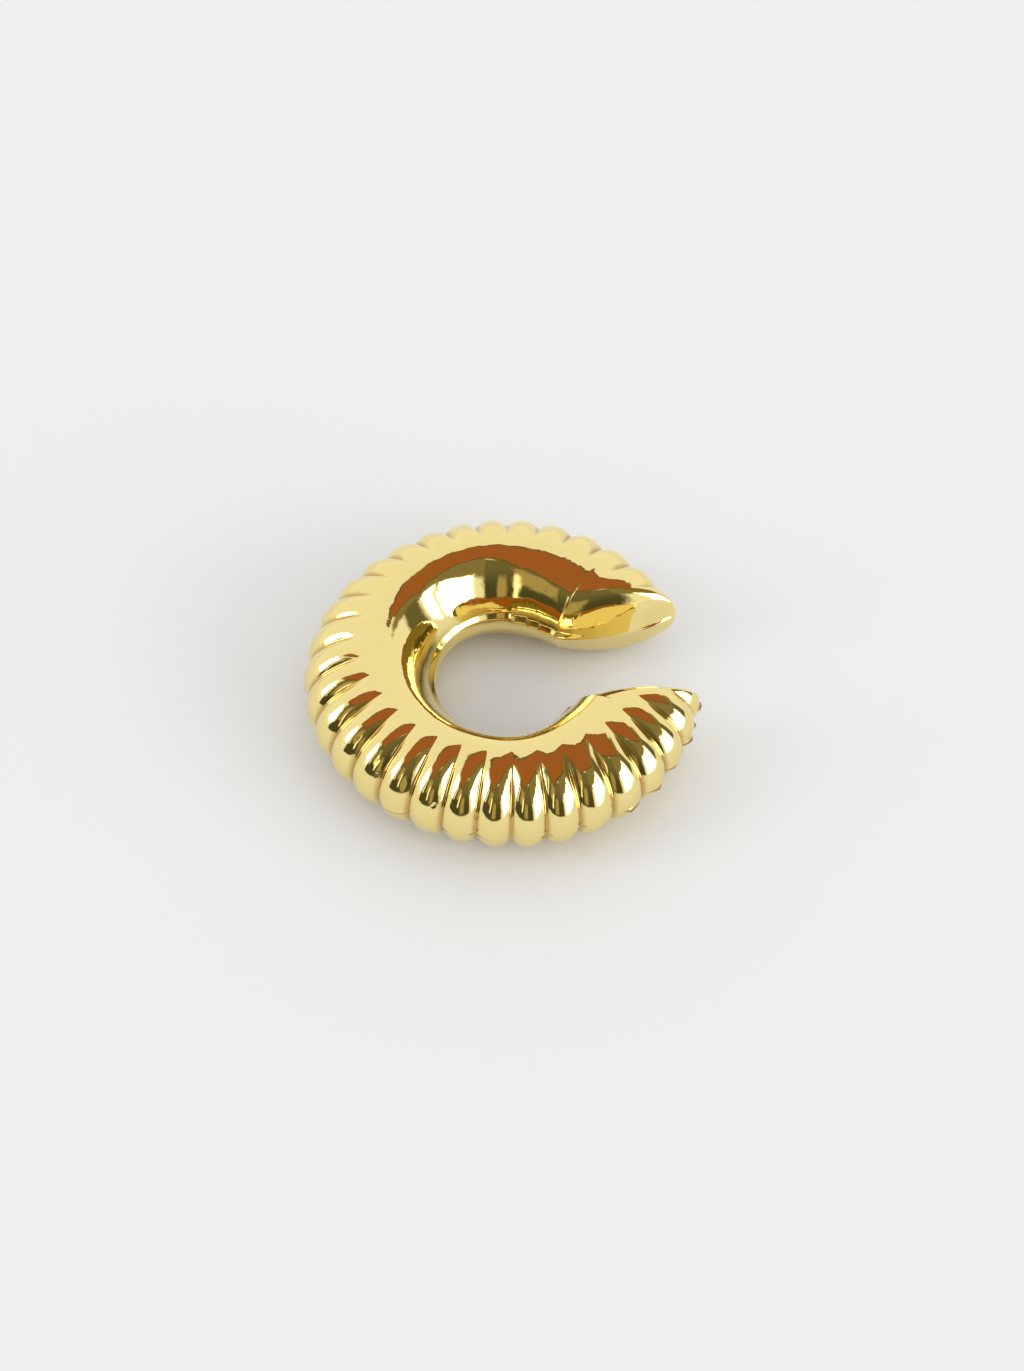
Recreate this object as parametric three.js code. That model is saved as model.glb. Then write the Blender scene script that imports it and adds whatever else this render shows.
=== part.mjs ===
// Ear cuff: one solid casting of polished, gold-coloured metal.
// An open ring, widest at the back, ribbed on its outer half and smooth inside.
// Each of its two arms is cut by a slanting, slightly bulging end face and runs out in a tip.
// The casting's parting line runs round the middle of the hole and of the end faces as a narrow band.
// Millimetres. The cuff lies on its side on z = 0, with the ring's axis along +Z.
// The mouth opens toward +X, and the origin is under the middle of the cuff.

import * as THREE from 'three';

// The ring in plan, seen along its axis. The shifts are toward the back.
const OUTER_LENGTH = 19.5;
const OUTER_WIDTH = 20;
const OUTER_SHIFT = 0.07;
const BACK_SWELL = 0.76;
const HOLE_LENGTH = 6.9;
const HOLE_WIDTH = 7.7;
const HOLE_SHIFT = 0.03;

// The two ends: the inner corners of the mouth, the tips where the end faces run out,
// and how far an end face bulges into the mouth halfway between them.
const MOUTH_WIDTH = 4.3;
const CORNER_REACH = 2.25;
const TIP_GAP = 5.95;
const TIP_ROUND = 0.2;
const FACE_BULGE = 0.3;

// Heights along the ring's axis: of the ring, and what its arms have tapered to at the tips.
const HEIGHT = 5.6;
const TIP_HEIGHT = 4.4;

// The inner walls: the height of the upright band, and how many degrees the wall leans back
// above and below it.
const BAND_HEIGHT = 0.2;
const WALL_DRAFT = 22;

// The ribs: their width along the outer round, which differs a little between the two arms,
// the depth of the grooves between them, and how much wider they are where the arms taper.
// One groove lies in the middle of the back.
const RIB_WIDTH_LEFT = 1.78;
const RIB_WIDTH_RIGHT = 1.88;
const RIB_DEPTH = 0.36;
const TIP_RIB_STRETCH = 1.1;

// Angles round the ring, in degrees from the middle of the back, where a change of form starts.
const SWELL_END = 80;
const CORNER_START = 81;
const TAPER_START = 115;

// Angles round a section, in degrees from its outermost point, where the grooves run out.
const GROOVE_FADE = { start: 66, end: 92 };

// How sharply the inner walls turn into the round of the arm: a higher number is tighter.
const EDGE_SHARPNESS = 8;

// The facets: steps along one rib, from the outline's crest round to the shoulder of the inner
// wall, from there to the band, across half the band, and in the last half rib before each tip.
const STEPS_PER_RIB = 6;
const STEPS_TO_SHOULDER = 10;
const STEPS_TO_BAND = 4;
const STEPS_ON_BAND = 1;
const STEPS_AT_TIP = 5;

const GOLD = { color: 0xe8c568, roughness: 0.12, metalness: 1 };

const { degToRad, smoothstep, lerp } = THREE.MathUtils;

const outerReach = OUTER_LENGTH / 2;
const outerRound = OUTER_WIDTH / 2;
const corner = new THREE.Vector2(CORNER_REACH, MOUTH_WIDTH / 2);
const tip = new THREE.Vector2(
  outerReach * Math.sqrt(1 - (TIP_GAP / OUTER_WIDTH) ** 2) - OUTER_SHIFT,
  TIP_GAP / 2,
);
const cornerAngle = Math.PI - corner.angle();
const tipAngle = Math.PI - tip.angle();

// Distance from the ring's centre to an oval, at an angle from the back.
// The oval has its own half length and half width, and its centre is shifted toward the back.
function ovalRadius(angle, halfLength, halfWidth, shift) {
  const along = Math.cos(angle) / halfLength;
  const across = Math.sin(angle) / halfWidth;
  const square = along ** 2 + across ** 2;
  const middle = (along * shift) / halfLength;
  const rest = (shift / halfLength) ** 2 - 1;
  return (middle + Math.sqrt(middle ** 2 - square * rest)) / square;
}

// The outer outline: an oval with a swollen back, which turns in to a quarter round at the tip.
function outerRadius(angle) {
  const oval = ovalRadius(angle, outerReach, outerRound, OUTER_SHIFT);
  const swell = BACK_SWELL * (1 - smoothstep(angle, 0, degToRad(SWELL_END)));
  const pastNose = 1 - ((tipAngle - angle) * oval) / TIP_ROUND;
  const nose = Math.min(Math.max(pastNose, 0), 1);
  return oval + swell - TIP_ROUND * (1 - Math.sqrt(1 - nose ** 2));
}

// The inner outline: the oval of the hole, which turns in to the corners of the mouth.
function innerRadius(angle) {
  const hole = ovalRadius(angle, HOLE_LENGTH / 2, HOLE_WIDTH / 2, HOLE_SHIFT);
  return lerp(hole, corner.length(), smoothstep(angle, degToRad(CORNER_START), cornerAngle));
}

// The end face: distance from the ring's centre to its curve, a parabola from corner to tip
// that bulges into the mouth. Before the corner there is no end face, and the distance is 0.
function faceRadius(angle) {
  if (angle <= cornerAngle) return 0;
  const run = tip.x - corner.x;
  const bend = (4 * FACE_BULGE) / run ** 2;
  const slope = (tip.y - corner.y - 4 * FACE_BULGE) / run - 2 * bend * corner.x;
  const start = corner.y - (slope + bend * corner.x) * corner.x;
  const forward = Math.cos(Math.PI - angle);
  const middle = Math.sin(Math.PI - angle) - slope * forward;
  return (2 * start) / (middle + Math.sqrt(middle ** 2 - 4 * bend * start * forward ** 2));
}

// The angle where the end face meets the outer outline, found by halving.
function endAngle() {
  let inside = cornerAngle;
  let outside = tipAngle;
  for (let i = 0; i < 40; i += 1) {
    const middle = (inside + outside) / 2;
    if (faceRadius(middle) < outerRadius(middle)) inside = middle;
    else outside = middle;
  }
  return inside;
}

// The width of the ribs on the arm that a signed angle from the back lies on.
function ribWidth(angle) {
  return angle < 0 ? RIB_WIDTH_RIGHT : RIB_WIDTH_LEFT;
}

// The angle from the back with the part beyond the start of the taper scaled.
function scaledBeyondTaper(angle, scale) {
  const start = degToRad(TAPER_START);
  return angle > start ? start + (angle - start) * scale : angle;
}

// The depth of the ribbing under the outline: each rib is a round arc between two sharp grooves.
function ribDrop(angle) {
  const width = ribWidth(angle);
  const along = (scaledBeyondTaper(Math.abs(angle), 1 / TIP_RIB_STRETCH) * outerRound) / width;
  const fromCrest = (along % 1) - 0.5;
  const curve = ((width / 2) ** 2 + RIB_DEPTH ** 2) / (2 * RIB_DEPTH);
  return curve - Math.sqrt(curve ** 2 - (fromCrest * width) ** 2);
}

// One section of the arm at a signed angle from the back: an ellipse, cut by the inner wall.
// It is measured from halfway between wall and outline, offset from the ellipse's own middle.
function section(angle) {
  const turn = Math.abs(angle);
  const outer = outerRadius(turn);
  const hole = innerRadius(turn);
  const wall = Math.max(hole, faceRadius(turn));
  const halfWidth = (outer - hole) / 2;
  const taper = smoothstep(turn, degToRad(TAPER_START), tipAngle);
  const halfHeight = lerp(HEIGHT, TIP_HEIGHT, taper) / 2;
  const middle = (outer + wall) / 2;
  const offset = middle - (outer - halfWidth);
  const toWall = middle - wall;
  const drop = ribDrop(angle) * Math.min(1, (outer - middle) / halfWidth);
  return { halfWidth, halfHeight, middle, offset, toWall, drop };
}

// How far the section reaches from its middle, at an angle from its outermost point.
// The round, the upright band and the wall that leans back from it are joined smoothly.
function sectionReach({ halfWidth, halfHeight, offset, toWall, drop }, round) {
  const cos = Math.cos(round);
  const square = (cos / halfWidth) ** 2 + (Math.sin(round) / halfHeight) ** 2;
  const lean = (offset * cos) / halfWidth ** 2;
  const rest = (offset / halfWidth) ** 2 - 1;
  const toRound = (Math.sqrt(lean ** 2 - square * rest) - lean) / square;
  const toBand = cos < 0 ? toWall / -cos : Infinity;
  const draft = degToRad(WALL_DRAFT);
  const facing = Math.sin(round) * Math.sin(draft) - cos * Math.cos(draft);
  const depth = toWall * Math.cos(draft) + (BAND_HEIGHT / 2) * Math.sin(draft);
  const toDraft = facing > 0 ? depth / facing : Infinity;
  const inverse = [toRound, toBand, toDraft].reduce((sum, to) => sum + to ** -EDGE_SHARPNESS, 0);
  const fade = 1 - smoothstep(round, degToRad(GROOVE_FADE.start), degToRad(GROOVE_FADE.end));
  return inverse ** (-1 / EDGE_SHARPNESS) - drop * fade;
}

// The angle, from the section's outermost point, of the shoulder where the leaning wall begins.
function shoulderAngle({ halfWidth, halfHeight, offset, toWall }) {
  const steep = 1 / Math.tan(degToRad(WALL_DRAFT));
  const rise = BAND_HEIGHT / 2 + (toWall - offset) * steep;
  const square = 1 / halfWidth ** 2 + (steep / halfHeight) ** 2;
  const half = (rise * steep) / halfHeight ** 2;
  const rest = (rise / halfHeight) ** 2 - 1;
  const along = (Math.sqrt(Math.max(half ** 2 - square * rest, 0)) - half) / square;
  return Math.atan2(rise + along * steep, along - offset);
}

// The points round one section, even from the outermost point to the shoulder and the band.
function sectionPoints(angle) {
  const here = section(angle);
  const shoulder = shoulderAngle(here);
  const band = Math.max(shoulder, Math.atan2(BAND_HEIGHT / 2, -here.toWall));
  const toBand = STEPS_TO_SHOULDER + STEPS_TO_BAND;
  const half = toBand + STEPS_ON_BAND;
  const points = [];
  for (let i = 0; i < 2 * half; i += 1) {
    const step = Math.min(i, 2 * half - i);
    let round = lerp(band, Math.PI, (step - toBand) / STEPS_ON_BAND);
    if (step < STEPS_TO_SHOULDER) round = (shoulder * step) / STEPS_TO_SHOULDER;
    else if (step < toBand) round = lerp(shoulder, band, (step - STEPS_TO_SHOULDER) / STEPS_TO_BAND);
    const reach = sectionReach(here, round);
    const radius = here.middle + reach * Math.cos(round);
    const height = reach * Math.sin(round) * (i > half ? -1 : 1);
    points.push(new THREE.Vector3(-radius * Math.cos(angle), -radius * Math.sin(angle), height));
  }
  return points;
}

// The angles of one arm's sections: even steps along every rib, and ever closer ones at the tip.
function armAngles(end, side) {
  const step = ribWidth(side) / STEPS_PER_RIB / outerRound;
  const tipStart = end - (step * STEPS_PER_RIB) / 2;
  const angles = [];
  for (let i = 1; scaledBeyondTaper(i * step, TIP_RIB_STRETCH) < tipStart - step / 3; i += 1) {
    angles.push(scaledBeyondTaper(i * step, TIP_RIB_STRETCH));
  }
  for (let i = 0; i <= STEPS_AT_TIP; i += 1) {
    angles.push(end - (end - tipStart) * (1 - i / STEPS_AT_TIP) ** 2);
  }
  return angles.map((angle) => side * angle);
}

// The angles of all sections, from one tip over the middle of the back to the other.
function sectionAngles(end) {
  return [...armAngles(end, -1).reverse(), 0, ...armAngles(end, 1)];
}

// A closed skin over the sections, drawn together to one point at each end.
function skin(sections) {
  const positions = sections.flat();
  const count = sections[0].length;
  const indices = [];
  const last = sections.length - 1;
  for (let row = 0; row < last; row += 1) {
    for (let i = 0; i < count; i += 1) {
      const next = (i + 1) % count;
      const a = row * count + i;
      const b = row * count + next;
      indices.push(a, a + count, b, b, a + count, b + count);
    }
  }
  for (const [row, forward] of [[0, true], [last, false]]) {
    const middle = new THREE.Vector3();
    sections[row].forEach((point) => middle.addScaledVector(point, 1 / count));
    const pole = positions.push(middle) - 1;
    for (let i = 0; i < count; i += 1) {
      const a = row * count + i;
      const b = row * count + ((i + 1) % count);
      indices.push(...(forward ? [pole, a, b] : [pole, b, a]));
    }
  }
  const geometry = new THREE.BufferGeometry().setFromPoints(positions);
  geometry.setIndex(indices);
  return geometry;
}

function cuffBody() {
  const geometry = skin(sectionAngles(endAngle()).map(sectionPoints));
  geometry.computeBoundingBox();
  const { min, max } = geometry.boundingBox;
  const mesh = new THREE.Mesh(geometry, new THREE.MeshStandardMaterial(GOLD));
  mesh.name = 'cuff_body';
  mesh.position.set(-(min.x + max.x) / 2, 0, -min.z);
  return mesh;
}

const cuff = new THREE.Group();
cuff.add(cuffBody());

export default cuff;
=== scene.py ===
"""An ear cuff of polished, gold-coloured metal, lying on its side on a pale table.

The cuff is one casting: an open ring, ribbed on its outer half and smooth inside, with slanting
end faces and blunt tips. The surface below has the solid's form, in millimetres about the ring's
centre, laid out much finer. Its inner wall leans back from a lower parting line than the solid's,
and it has the marks of casting and polishing.
"""

import bpy
import numpy as np
from mathutils import Matrix, Vector


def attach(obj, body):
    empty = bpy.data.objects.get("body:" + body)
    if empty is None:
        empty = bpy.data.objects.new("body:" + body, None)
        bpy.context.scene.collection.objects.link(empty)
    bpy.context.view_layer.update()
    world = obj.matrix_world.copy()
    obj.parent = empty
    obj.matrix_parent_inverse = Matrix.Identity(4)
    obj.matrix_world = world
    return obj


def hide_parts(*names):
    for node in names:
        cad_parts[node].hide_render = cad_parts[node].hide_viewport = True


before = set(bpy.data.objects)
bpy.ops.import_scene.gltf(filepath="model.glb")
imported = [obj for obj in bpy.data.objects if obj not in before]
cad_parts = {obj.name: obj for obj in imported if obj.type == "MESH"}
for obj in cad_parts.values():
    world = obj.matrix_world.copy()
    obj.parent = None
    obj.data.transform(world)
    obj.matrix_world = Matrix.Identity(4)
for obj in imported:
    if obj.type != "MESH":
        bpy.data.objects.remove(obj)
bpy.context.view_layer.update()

# The ring in plan, in millimetres. The shifts are toward the back.
OUTER_LENGTH = 19.35
OUTER_WIDTH = 20.0
OUTER_SHIFT = 0.02
BACK_SWELL = 0.89
HOLE_LENGTH = 6.5
HOLE_WIDTH = 7.3
HOLE_SHIFT = 0.36

# The two ends, and the heights along the ring's axis.
MOUTH_WIDTH = 4.46
CORNER_REACH = 2.43
TIP_GAP = 5.75
TIP_ROUND = 0.2
FACE_BULGE = 0.44
HEIGHT = 5.64
TIP_HEIGHT = 4.6

# The inner walls, in the hole and on the end faces. From the parting line below the middle they
# lean back in degrees both ways, and from a height above the middle on they flare more. The
# sharpness is a soft minimum's power: where the flare starts, and at the wall's upper and lower edge.
WALL_LEAN = 22.0
WALL_FLARE = 33.0
PARTING_IN_HOLE = -0.9
PARTING_ON_FACE = -0.25
FLARE_IN_HOLE = 0.6
FLARE_ON_FACE = 1.5
FLARE_SHARPNESS = 24.0
EDGE_SHARPNESS = (7.0, 15.0)

# The ribs: their width on the near and on the far arm, the depth of the grooves between them,
# and how much wider they are where the arms taper.
RIB_WIDTH_NEAR = 1.78
RIB_WIDTH_FAR = 1.87
RIB_DEPTH = 0.36
TIP_RIB_STRETCH = 1.065

# The casting seam round the outside: its full height, the number and the lowest value of the random
# heights along it, how far it goes round the ring either way, in radians, where it grows on the
# near arm and its share elsewhere, and how many grid steps below the middle it runs.
SEAM_HEIGHT = 0.2
SEAM_BEADS = 120
SEAM_LOW = -0.6
SEAM_SPAN = 3.0
SEAM_GROWS = (0.6, 2.2)
SEAM_LEAST = 0.25
SEAM_PLACE = 3
SEAM_SEED = 7

# Pits in the casting: their angles round the ring and round the section, in degrees.
PIT_DEPTH = 0.05
PIT_RADIUS = 0.09
PITS = (
    (17.0, 33.0),
    (28.0, 40.0),
    (38.2, 36.0),
    (39.5, 24.0),
    (48.6, 30.0),
    (58.9, 22.0),
    (60.0, 38.0),
    (71.4, 18.0),
    (91.8, 12.0),
    (112.0, 20.0),
    (132.5, 16.0),
    (-21.0, 30.0),
    (-64.0, 35.0),
)

# Angles round the ring from the middle of the back, and round a section, in degrees.
SWELL_END = 80.0
CORNER_START = 81.0
TAPER_START = 102.0
GROOVE_FADE = (48.0, 95.0)

# The grid: rows to a rib and at a tip, and places round half a section, first from the middle of
# the outer side to the shoulder, with growing steps, and then on the wall. The shoulder is given in
# shares of the half width and the half height.
ROWS_PER_RIB = 23
ROWS_AT_TIP = 18
PLACES_TO_SHOULDER = 46
PLACES_ON_WALL = 18
STEP_GROWTH = 1.3
SHOULDER = (0.8, 0.62)

# The ring's centre in the shared frame, in metres.
RING_CENTRE = np.array([0.00067, 0.0, 0.00282])

# The table, in metres: its half length, and its near edge as the cuff mirrors it, which is how far
# from the middle toward the camera it ends.
TABLE_REACH = 1.5
TABLE_EDGE = 0.035

# The camera, fitted to the photo: angles in degrees, distance in metres, focal length in pixels
# of a picture of the given height, and the height of the sensor in millimetres.
CAMERA_AZIMUTH = -9.81
CAMERA_ELEVATION = 51.3
CAMERA_ROLL = 1.91
CAMERA_DISTANCE = 0.09495
FOCAL_PIXELS = 1853.6
PHOTO_HEIGHT = 1371.0
SENSOR_HEIGHT = 24.0
SHIFT = (0.00035, -0.00724)

# The room that the gold mirrors. A patch is a span of azimuth, from the camera's side to the right,
# a span of height above the table, both in degrees with the softness of the edges, and a colour.
FURNITURE = ((-64, 28, 3), (-7, 62, 2))
FURNITURE_PARTS = (
    ((-14, 2, 3), (-2, 30, 4), (0.42, 0.34, 0.17, 1)),
    ((-44, -22, 3), (22, 47, 3), (0.42, 0.34, 0.17, 1)),
    ((-30, -24, 2), (8, 36, 3), (1.5, 1.4, 1.1, 1)),
)
WINDOW_LIGHT = (4.5, 4.6, 4.7, 1)
WALL_PARTS = (
    ((26, 135, 3), (30, 66, 3), (0.24, 0.205, 0.10, 1)),
    ((97, 116, 3), (-6, 34, 3), (0.15, 0.13, 0.065, 1)),
    ((39, 78, 1.5), (-13, 35, 2), WINDOW_LIGHT),
    ((82, 92, 1), (-13, 35, 2), WINDOW_LIGHT),
    ((-90, -66, 1.5), (12, 42, 2), WINDOW_LIGHT),
    ((-60, -55, 1), (15, 42, 1.5), (1.2, 1.1, 0.9, 1)),
)

# The wooden ceiling over the table and the dark trim round it: rectangles on a level plane one
# unit up, turned by an angle in degrees, with wavy edges. A span ends with its softness.
WOOD_TURN = -32.0
WOOD_ALONG = (-0.72, 1.0, 0.02)
WOOD_OVER = (-0.36, 0.42, 0.012)
TRIM_ALONG = (-0.77, 1.06, 0.02)
TRIM_OVER = (-0.40, 0.47, 0.012)
WOOD_WAVE = 0.10


def smoothstep(x, low, high):
    """0 below low, 1 above high, and an even S between them."""
    share = np.clip((x - low) / (high - low), 0, 1)
    return share * share * (3 - 2 * share)


def oval_radius(angle, half_length, half_width, shift):
    """Distance from the ring's centre to an oval that is shifted toward the back."""
    along = np.cos(angle) / half_length
    across = np.sin(angle) / half_width
    square = along**2 + across**2
    middle = along * shift / half_length
    rest = (shift / half_length) ** 2 - 1
    return (middle + np.sqrt(middle**2 - square * rest)) / square


CORNER = np.array([CORNER_REACH, MOUTH_WIDTH / 2])
TIP_REACH = OUTER_LENGTH / 2 * np.sqrt(1 - (TIP_GAP / OUTER_WIDTH) ** 2) - OUTER_SHIFT
TIP = np.array([TIP_REACH, TIP_GAP / 2])
CORNER_ANGLE = np.pi - np.arctan2(CORNER[1], CORNER[0])
TIP_ANGLE = np.pi - np.arctan2(TIP[1], TIP[0])


def outer_radius(turn):
    """The outline: an oval with a swollen back, which turns in to a quarter round at the tip."""
    oval = oval_radius(turn, OUTER_LENGTH / 2, OUTER_WIDTH / 2, OUTER_SHIFT)
    swell = BACK_SWELL * (1 - smoothstep(turn, 0, np.radians(SWELL_END)))
    nose = np.clip(1 - (TIP_ANGLE - turn) * oval / TIP_ROUND, 0, 1)
    return oval + swell - TIP_ROUND * (1 - np.sqrt(1 - nose**2))


def inner_radius(turn):
    """The hole's oval, which turns in to the corners of the mouth."""
    hole = oval_radius(turn, HOLE_LENGTH / 2, HOLE_WIDTH / 2, HOLE_SHIFT)
    to_corner = smoothstep(turn, np.radians(CORNER_START), CORNER_ANGLE)
    return hole + (np.hypot(*CORNER) - hole) * to_corner


def face_radius(turn):
    """Distance to the end face, a parabola from corner to tip, or 0 before the corner."""
    run = TIP[0] - CORNER[0]
    bend = 4 * FACE_BULGE / run**2
    slope = (TIP[1] - CORNER[1] - 4 * FACE_BULGE) / run - 2 * bend * CORNER[0]
    start = CORNER[1] - (slope + bend * CORNER[0]) * CORNER[0]
    forward = np.cos(np.pi - turn)
    middle = np.sin(np.pi - turn) - slope * forward
    root = np.sqrt(np.maximum(middle**2 - 4 * bend * start * forward**2, 0))
    return np.where(turn <= CORNER_ANGLE, 0, 2 * start / np.maximum(middle + root, 1e-6))


def wall_radius(turn):
    """Distance to the inner wall, which is the hole's or the end face's."""
    return np.maximum(inner_radius(turn), face_radius(turn))


def end_angle():
    """The angle where the end face meets the outline, found by halving."""
    inside, outside = CORNER_ANGLE, TIP_ANGLE
    for _ in range(40):
        middle = np.array((inside + outside) / 2)
        if face_radius(middle) < outer_radius(middle):
            inside = float(middle)
        else:
            outside = float(middle)
    return inside


def scaled_beyond_taper(turn, scale):
    """The angle from the back with the part beyond the start of the taper scaled."""
    start = np.radians(TAPER_START)
    return np.where(turn > start, start + (turn - start) * scale, turn)


def rib_drop(angle):
    """Depth under the outline: each rib is a round arc between two sharp grooves."""
    width = np.where(angle < 0, RIB_WIDTH_FAR, RIB_WIDTH_NEAR)
    along = scaled_beyond_taper(np.abs(angle), 1 / TIP_RIB_STRETCH) * OUTER_WIDTH / 2 / width
    from_crest = (along % 1 - 0.5) * width
    curve = ((width / 2) ** 2 + RIB_DEPTH**2) / (2 * RIB_DEPTH)
    return curve - np.sqrt(curve**2 - from_crest**2)


def row_angles():
    """The angles of the rows: even steps along every rib, and ever closer ones at the tips."""
    end = end_angle() * (1 - 1e-7)
    arms = []
    for width in (RIB_WIDTH_FAR, RIB_WIDTH_NEAR):
        step = width / ROWS_PER_RIB / (OUTER_WIDTH / 2)
        tip_start = end - step * ROWS_AT_TIP / 2
        even = scaled_beyond_taper(np.arange(1, 60 * ROWS_PER_RIB) * step, TIP_RIB_STRETCH)
        even = even[even < tip_start - step / 3]
        closer = end - (end - tip_start) * (1 - np.arange(ROWS_AT_TIP + 1) / ROWS_AT_TIP) ** 2
        arms.append(np.concatenate([even, closer]))
    return np.concatenate([-arms[0][::-1], [0], arms[1]])


def reach_of_plane(cos, sin, ahead, height, lean):
    """How far a wall is that leans back from a point ahead of the section's middle."""
    flat, steep = np.cos(lean)[:, None], np.sin(lean)[:, None]
    facing = sin * steep - cos * flat
    depth = np.maximum(ahead[:, None] * flat + height[:, None] * steep, 1e-3)
    return np.where(facing > 1e-3, depth / np.maximum(facing, 1e-3), 1e3)


def casting_marks(angle, round_, place):
    """Height of the ragged seam, which follows one line of the grid, and depth of the pits.

    The seam's height is a row of seeded random values, joined by straight lines and cut off below
    zero. A pit is a bell-shaped dent about a place on the surface.
    """
    random = np.random.default_rng(SEAM_SEED)
    stops = np.linspace(-SEAM_SPAN, SEAM_SPAN, SEAM_BEADS)
    beads = np.interp(angle, stops, random.uniform(SEAM_LOW, 1, SEAM_BEADS))
    swell = smoothstep(angle, *SEAM_GROWS) * (1 - SEAM_LEAST) + SEAM_LEAST
    seam = SEAM_HEIGHT * np.maximum(beads, 0) * swell
    from_seam = np.abs(place - len(place) + SEAM_PLACE)
    share = np.select([from_seam == 0, from_seam == 1], [1.0, 0.25], 0.0)
    marks = seam[:, None] * share
    for at_angle, at_round in PITS:
        along = (angle - np.radians(at_angle))[:, None] * OUTER_WIDTH / 2
        around = (round_ - np.radians(at_round)) * HEIGHT / 2
        marks = marks - PIT_DEPTH * np.exp(-(along**2 + around**2) / PIT_RADIUS**2)
    return marks


def cuff_surface():
    """Points of the cuff on a grid of rows from tip to tip and places round each section.

    A section is an ellipse between the outline and the hole. A soft minimum joins it to the inner
    wall, which leans back above and below the parting line and flares above a height. The leans
    are square to the wall as it runs in plan. The grooves sink the section on its outer half and
    run out above and below. The second result is how deep each point is in a groove or a mark.
    """
    angle = row_angles()
    turn = np.abs(angle)
    outer, hole = outer_radius(turn), inner_radius(turn)
    wall = wall_radius(turn)
    half_width = (outer - hole) / 2
    taper = smoothstep(turn, np.radians(TAPER_START), TIP_ANGLE)
    half_height = (HEIGHT + (TIP_HEIGHT - HEIGHT) * taper) / 2
    middle = (outer + wall) / 2
    offset = middle - (outer - half_width)
    to_wall = middle - wall

    slant = (np.log(wall_radius(turn + 1e-4)) - np.log(wall)) / 1e-4
    oblique = np.sqrt(1 + slant**2)
    lean = np.arctan(np.tan(np.radians(WALL_LEAN)) * oblique)
    flare = np.arctan(np.tan(np.radians(WALL_FLARE)) * oblique)
    toward_face = smoothstep(turn, np.radians(CORNER_START), CORNER_ANGLE)
    parting = PARTING_IN_HOLE + (PARTING_ON_FACE - PARTING_IN_HOLE) * toward_face
    flare_from = FLARE_IN_HOLE + (FLARE_ON_FACE - FLARE_IN_HOLE) * toward_face
    ridge = np.arctan2(-parting, to_wall)
    inward = np.minimum(SHOULDER[0] * half_width + offset, to_wall)
    shoulder = np.arctan2(SHOULDER[1] * half_height, -inward)[:, None]
    whole = PLACES_TO_SHOULDER + PLACES_ON_WALL
    place = np.arange(2 * whole)
    step = np.minimum(place, 2 * whole - place)
    side = np.where(place > whole, -1, 1)
    last = np.pi + ridge[:, None] * side
    before = shoulder * (step / PLACES_TO_SHOULDER) ** STEP_GROWTH
    beyond = shoulder + (last - shoulder) * (step - PLACES_TO_SHOULDER) / PLACES_ON_WALL
    round_ = np.where(step < PLACES_TO_SHOULDER, before, beyond)

    cos, sin = np.cos(round_), np.sin(round_) * side
    wide, high, off = half_width[:, None], half_height[:, None], offset[:, None]
    square = (cos / wide) ** 2 + (sin / high) ** 2
    back = off * cos / wide**2
    rest = (off / wide) ** 2 - 1
    to_round = (np.sqrt(np.maximum(back**2 - square * rest, 1e-12)) - back) / square
    at_flare = to_wall - (flare_from - parting) * np.tan(lean)
    to_upper = reach_of_plane(cos, sin, to_wall, parting, lean)
    to_lower = reach_of_plane(cos, -sin, to_wall, -parting, lean)
    to_flare = reach_of_plane(cos, sin, at_flare, flare_from, flare)
    upper = (to_upper**-FLARE_SHARPNESS + to_flare**-FLARE_SHARPNESS) ** (-1 / FLARE_SHARPNESS)
    to_lean = np.minimum(np.where(sin > 0, upper, to_upper), to_lower)
    sharpness = np.where(sin > 0, *EDGE_SHARPNESS)
    inverse = to_round**-sharpness + to_lean**-sharpness
    drop = rib_drop(angle) * np.minimum(1, (outer - middle) / half_width)
    fade = 1 - smoothstep(np.minimum(round_, np.pi), *np.radians(GROOVE_FADE))
    sunk = drop[:, None] * fade
    marks = casting_marks(angle, round_ * side, place)
    reach = inverse ** (-1 / sharpness) - sunk + marks

    radius = middle[:, None] + reach * cos
    x, y = -radius * np.cos(angle)[:, None], -radius * np.sin(angle)[:, None]
    grid = np.stack([x, y, reach * sin], -1)
    # The second result also sets where the gold gets painted shade: in the grooves, in the pits and
    # on the seam.
    return grid, np.maximum(sunk / RIB_DEPTH, np.abs(marks) / PIT_DEPTH)


def closed_skin(name, grid, sunk):
    """A mesh object over a grid that closes round each row and is drawn together at both ends.

    It carries how far each point is sunk into a groove, as a share of the full depth, and the gold's
    painted shade follows it.
    """
    rows, around = grid.shape[:2]
    poles = grid[[0, -1]].mean(1)
    places = np.concatenate([grid.reshape(-1, 3), poles])
    row, at = np.meshgrid(np.arange(rows - 1), np.arange(around), indexing="ij")
    this, further = row * around, (row + 1) * around
    after = (at + 1) % around
    quads = np.stack([this + at, further + at, further + after, this + after], -1)
    at = np.arange(around)
    after = (at + 1) % around
    whole, last_row = rows * around, (rows - 1) * around
    start = np.stack([np.full(around, whole), at, after], -1)
    stop = np.stack([np.full(around, whole + 1), last_row + after, last_row + at], -1)
    faces = quads.reshape(-1, 4).tolist() + start.tolist() + stop.tolist()
    mesh = bpy.data.meshes.new(name)
    mesh.from_pydata(places.tolist(), [], faces)
    mesh.polygons.foreach_set("use_smooth", np.ones(len(faces), bool))
    depth = mesh.attributes.new("sunk", "FLOAT", "POINT")
    depth.data.foreach_set("value", np.concatenate([sunk.ravel(), [0, 0]]).astype(np.float32))
    mesh.update()
    piece = bpy.data.objects.new(name, mesh)
    bpy.context.scene.collection.objects.link(piece)
    return piece


# Shader helpers.


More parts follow.
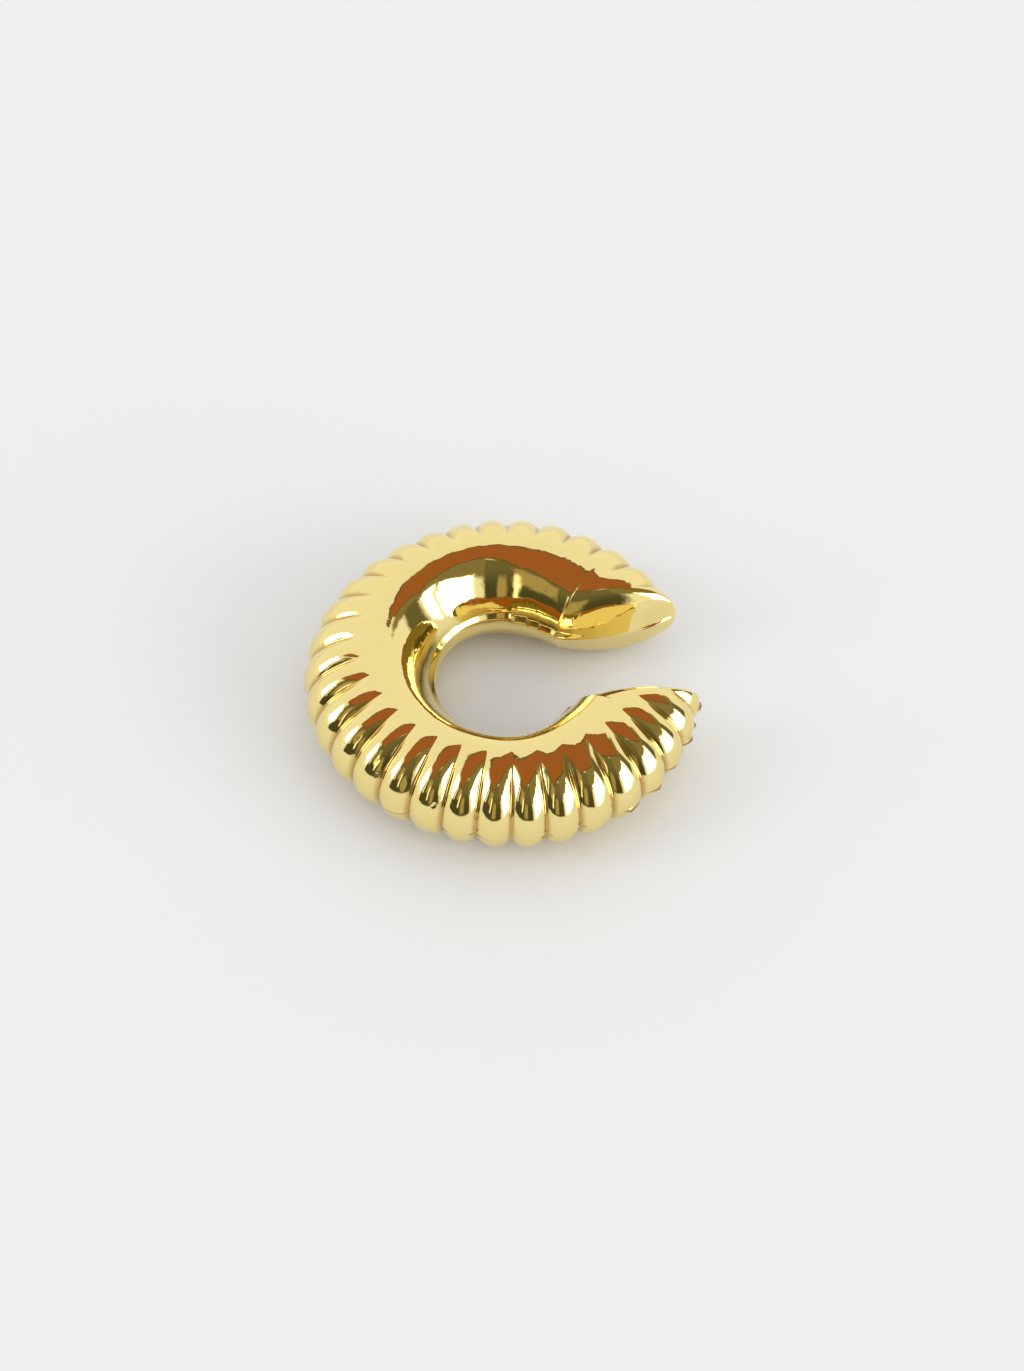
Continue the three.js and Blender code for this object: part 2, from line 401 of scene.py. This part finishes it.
def node(tree, kind, values=None, **settings):
    """A new node with its settings, and values or links for its input sockets."""
    made = tree.nodes.new(kind)
    for key, value in settings.items():
        setattr(made, key, value)
    for key, value in (values or {}).items():
        if isinstance(value, bpy.types.NodeSocket):
            tree.links.new(value, made.inputs[key])
        else:
            made.inputs[key].default_value = value
    return made


def calc(tree, operation, *values):
    """The result of a math node."""
    made = node(tree, "ShaderNodeMath", dict(enumerate(values)), operation=operation)
    return made.outputs[0]


def ramp(tree, value, low, high, start=0.0, stop=1.0):
    """start below low, stop above high, and an even S between them."""
    made = node(
        tree,
        "ShaderNodeMapRange",
        {"Value": value, "From Min": low, "From Max": high, "To Min": start, "To Max": stop},
        interpolation_type="SMOOTHSTEP",
    )
    return made.outputs["Result"]


def between(tree, value, low, high, soft):
    """1 between low and high, and 0 outside, with soft edges."""
    rise = ramp(tree, value, low - soft, low + soft)
    fall = ramp(tree, value, high - soft, high + soft, 1.0, 0.0)
    return calc(tree, "MULTIPLY", rise, fall)


def noise(tree, vector, scale, detail):
    """The value of a noise texture."""
    values = {"Vector": vector, "Scale": scale, "Detail": detail}
    return node(tree, "ShaderNodeTexNoise", values).outputs["Fac"]


def mixed(tree, share, under, over):
    """The colour under, covered by the colour over in the given share."""
    made = node(tree, "ShaderNodeMix", {0: share, 6: under, 7: over}, data_type="RGBA")
    return made.outputs[2]


def dot(tree, vector, direction):
    """The length of a vector along a fixed direction."""
    made = node(tree, "ShaderNodeVectorMath", {0: vector, 1: direction}, operation="DOT_PRODUCT")
    return made.outputs["Value"]


def polished_gold():
    """Gold plating polished to a mirror: faint waves, hazy patches, duller grooves, and painted shade
    in grooves, pits and seam.
    """
    material = bpy.data.materials.new("polished_gold")
    material.use_nodes = True
    tree = material.node_tree
    tree.nodes.clear()
    place = node(tree, "ShaderNodeTexCoord").outputs["Object"]
    sunk = node(tree, "ShaderNodeAttribute", attribute_name="sunk").outputs["Fac"]
    # How deep a point lies in a groove or mark: it dulls the gold and sets where the shade is
    # painted.
    dull_and_painted_shade = ramp(tree, sunk, 0.45, 1.0)
    haze = noise(tree, place, 420.0, 5.0)
    specks = noise(tree, place, 6500.0, 2.0)
    roughness = ramp(tree, haze, 0.4, 0.72, 0.035, 0.10)
    roughness = calc(tree, "ADD", roughness, calc(tree, "MULTIPLY", dull_and_painted_shade, 0.10))
    roughness = calc(tree, "ADD", roughness, ramp(tree, specks, 0.64, 0.74, 0.0, 0.10))
    colour = mixed(tree, haze, (0.945, 0.79, 0.355, 1), (0.925, 0.745, 0.285, 1))
    # Painted shade: the gold turns darker and browner where a point lies deep in a groove or pit, or
    # on the seam.
    colour = mixed(tree, calc(tree, "MULTIPLY", dull_and_painted_shade, 0.8), colour, (0.50, 0.29, 0.08, 1))
    waves = noise(tree, place, 330.0, 2.0)
    ripples = noise(tree, place, 1500.0, 2.0)
    uneven = calc(tree, "ADD", waves, calc(tree, "MULTIPLY", ripples, 0.10))
    bump = node(tree, "ShaderNodeBump", {"Height": uneven, "Strength": 1.0, "Distance": 0.00009})
    shader = node(
        tree,
        "ShaderNodeBsdfPrincipled",
        {"Base Color": colour, "Metallic": 1.0, "Roughness": roughness, "Normal": bump.outputs[0]},
    )
    node(tree, "ShaderNodeOutputMaterial", {"Surface": shader.outputs[0]})
    return material


def table_top():
    """The pale, matt table that the cuff lies on."""
    material = bpy.data.materials.new("table_top")
    material.use_nodes = True
    shader = material.node_tree.nodes["Principled BSDF"]
    shader.inputs["Base Color"].default_value = (0.70, 0.70, 0.695, 1)
    shader.inputs["Roughness"].default_value = 0.9
    shader.inputs["Specular IOR Level"].default_value = 0.1
    return material


def crossed(tree, first, first_span, second, second_span):
    """1 where both values are within their spans, and 0 elsewhere."""
    inside = between(tree, first, *first_span)
    return calc(tree, "MULTIPLY", inside, between(tree, second, *second_span))


def patched(tree, azimuth, height, colour, patches):
    """The colour, covered by patches in turn."""
    for azimuths, heights, patch in patches:
        colour = mixed(tree, crossed(tree, azimuth, azimuths, height, heights), colour, patch)
    return colour


def ceiling(tree, view, across, toward, up, colour):
    """The colour, covered by the wooden ceiling and its dark trim."""
    flat = calc(tree, "MAXIMUM", up, 0.01)
    x = calc(tree, "DIVIDE", across, flat)
    y = calc(tree, "DIVIDE", toward, flat)
    cos, sin = float(np.cos(np.radians(WOOD_TURN))), float(np.sin(np.radians(WOOD_TURN)))
    along = calc(tree, "ADD", calc(tree, "MULTIPLY", x, cos), calc(tree, "MULTIPLY", y, sin))
    over = calc(tree, "SUBTRACT", calc(tree, "MULTIPLY", y, cos), calc(tree, "MULTIPLY", x, sin))
    wave = calc(tree, "SUBTRACT", noise(tree, view, 9.0, 3.0), 0.5)
    over = calc(tree, "ADD", over, calc(tree, "MULTIPLY", wave, WOOD_WAVE))
    above = ramp(tree, up, 0.1, 0.12)
    trim = calc(tree, "MULTIPLY", crossed(tree, along, TRIM_ALONG, over, TRIM_OVER), above)
    wood = calc(tree, "MULTIPLY", crossed(tree, along, WOOD_ALONG, over, WOOD_OVER), above)
    colour = mixed(tree, trim, colour, (0.12, 0.10, 0.05, 1))
    return mixed(tree, wood, colour, (0.35, 0.125, 0.04, 1))


def camera_sides():
    """Level directions toward the camera and to its right."""
    turn = np.radians(CAMERA_AZIMUTH)
    return np.array([np.sin(turn), -np.cos(turn), 0]), np.array([np.cos(turn), np.sin(turn), 0])


def room():
    """The studio round the table, by direction: pale walls, furniture, windows and a ceiling.

    Matt surfaces are lit by an even white instead, and the camera sees an even pale grey.
    """
    world = bpy.data.worlds.new("studio")
    bpy.context.scene.world = world
    world.use_nodes = True
    tree = world.node_tree
    tree.nodes.clear()
    near, right = camera_sides()
    view = node(tree, "ShaderNodeTexCoord").outputs["Generated"]
    toward = dot(tree, view, tuple(near))
    across = dot(tree, view, tuple(right))
    up = dot(tree, view, (0, 0, 1))
    azimuth = calc(tree, "MULTIPLY", calc(tree, "ARCTAN2", across, toward), 180 / np.pi)
    height = calc(tree, "MULTIPLY", calc(tree, "ARCSINE", up), 180 / np.pi)

    walls = mixed(tree, ramp(tree, height, 0, 60), (0.95, 0.95, 0.93, 1), (0.92, 0.92, 0.90, 1))
    dark = mixed(tree, ramp(tree, height, 12, 50), (0.075, 0.07, 0.035, 1), (0.17, 0.15, 0.075, 1))
    dark = patched(tree, azimuth, height, dark, FURNITURE_PARTS)
    colour = mixed(tree, crossed(tree, azimuth, FURNITURE[0], height, FURNITURE[1]), walls, dark)
    colour = patched(tree, azimuth, height, colour, WALL_PARTS)
    colour = ceiling(tree, view, across, toward, up, colour)
    path = node(tree, "ShaderNodeLightPath")
    colour = mixed(tree, path.outputs["Is Diffuse Ray"], colour, (1.03, 1.03, 1.03, 1))
    colour = mixed(tree, path.outputs["Is Camera Ray"], colour, (0.9, 0.9, 0.9, 1))
    light = node(tree, "ShaderNodeBackground", {"Color": colour, "Strength": 1.0})
    node(tree, "ShaderNodeOutputWorld", {"Surface": light.outputs[0]})


def table():
    """The table, level with the cuff's lowest point, and its near part, which isn't mirrored."""
    near, right = camera_sides()
    side = right * TABLE_REACH
    parts = (("table", -TABLE_REACH, TABLE_EDGE), ("table_front", TABLE_EDGE, TABLE_REACH))
    for name, start, stop in parts:
        back, front = near * start, near * stop
        places = [back - side, front - side, front + side, back + side]
        mesh = bpy.data.meshes.new(name)
        mesh.from_pydata([tuple(place) for place in places], [], [(0, 1, 2, 3)])
        top = bpy.data.objects.new(name, mesh)
        top.visible_glossy = name == "table"
        bpy.context.scene.collection.objects.link(top)
        mesh.materials.append(table_top())


def camera():
    """The camera of the photo, on a line through the ring's centre."""
    rise, roll = np.radians([CAMERA_ELEVATION, CAMERA_ROLL])
    near, right = camera_sides()
    back = near * np.cos(rise) + np.array([0, 0, np.sin(rise)])
    up = np.cross(back, right)
    turned_right = right * np.cos(roll) + up * np.sin(roll)
    turned_up = up * np.cos(roll) - right * np.sin(roll)
    data = bpy.data.cameras.new("camera")
    data.sensor_fit = "VERTICAL"
    data.sensor_height = SENSOR_HEIGHT
    data.lens = SENSOR_HEIGHT * FOCAL_PIXELS / PHOTO_HEIGHT
    data.shift_x, data.shift_y = SHIFT
    data.clip_start = 0.005
    maker = bpy.data.objects.new("camera", data)
    bpy.context.scene.collection.objects.link(maker)
    turned = Matrix(np.stack([turned_right, turned_up, back], 1).tolist()).to_4x4()
    place = Vector(RING_CENTRE + back * CAMERA_DISTANCE)
    maker.matrix_world = Matrix.Translation(place) @ turned
    bpy.context.scene.camera = maker


surface, groove_depth = cuff_surface()
cuff = closed_skin("cuff", surface / 1000 + RING_CENTRE, groove_depth)
cuff.data.materials.append(polished_gold())
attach(cuff, "root")
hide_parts("cuff_body")

table()
room()
camera()
bpy.context.scene.view_settings.view_transform = "Standard"
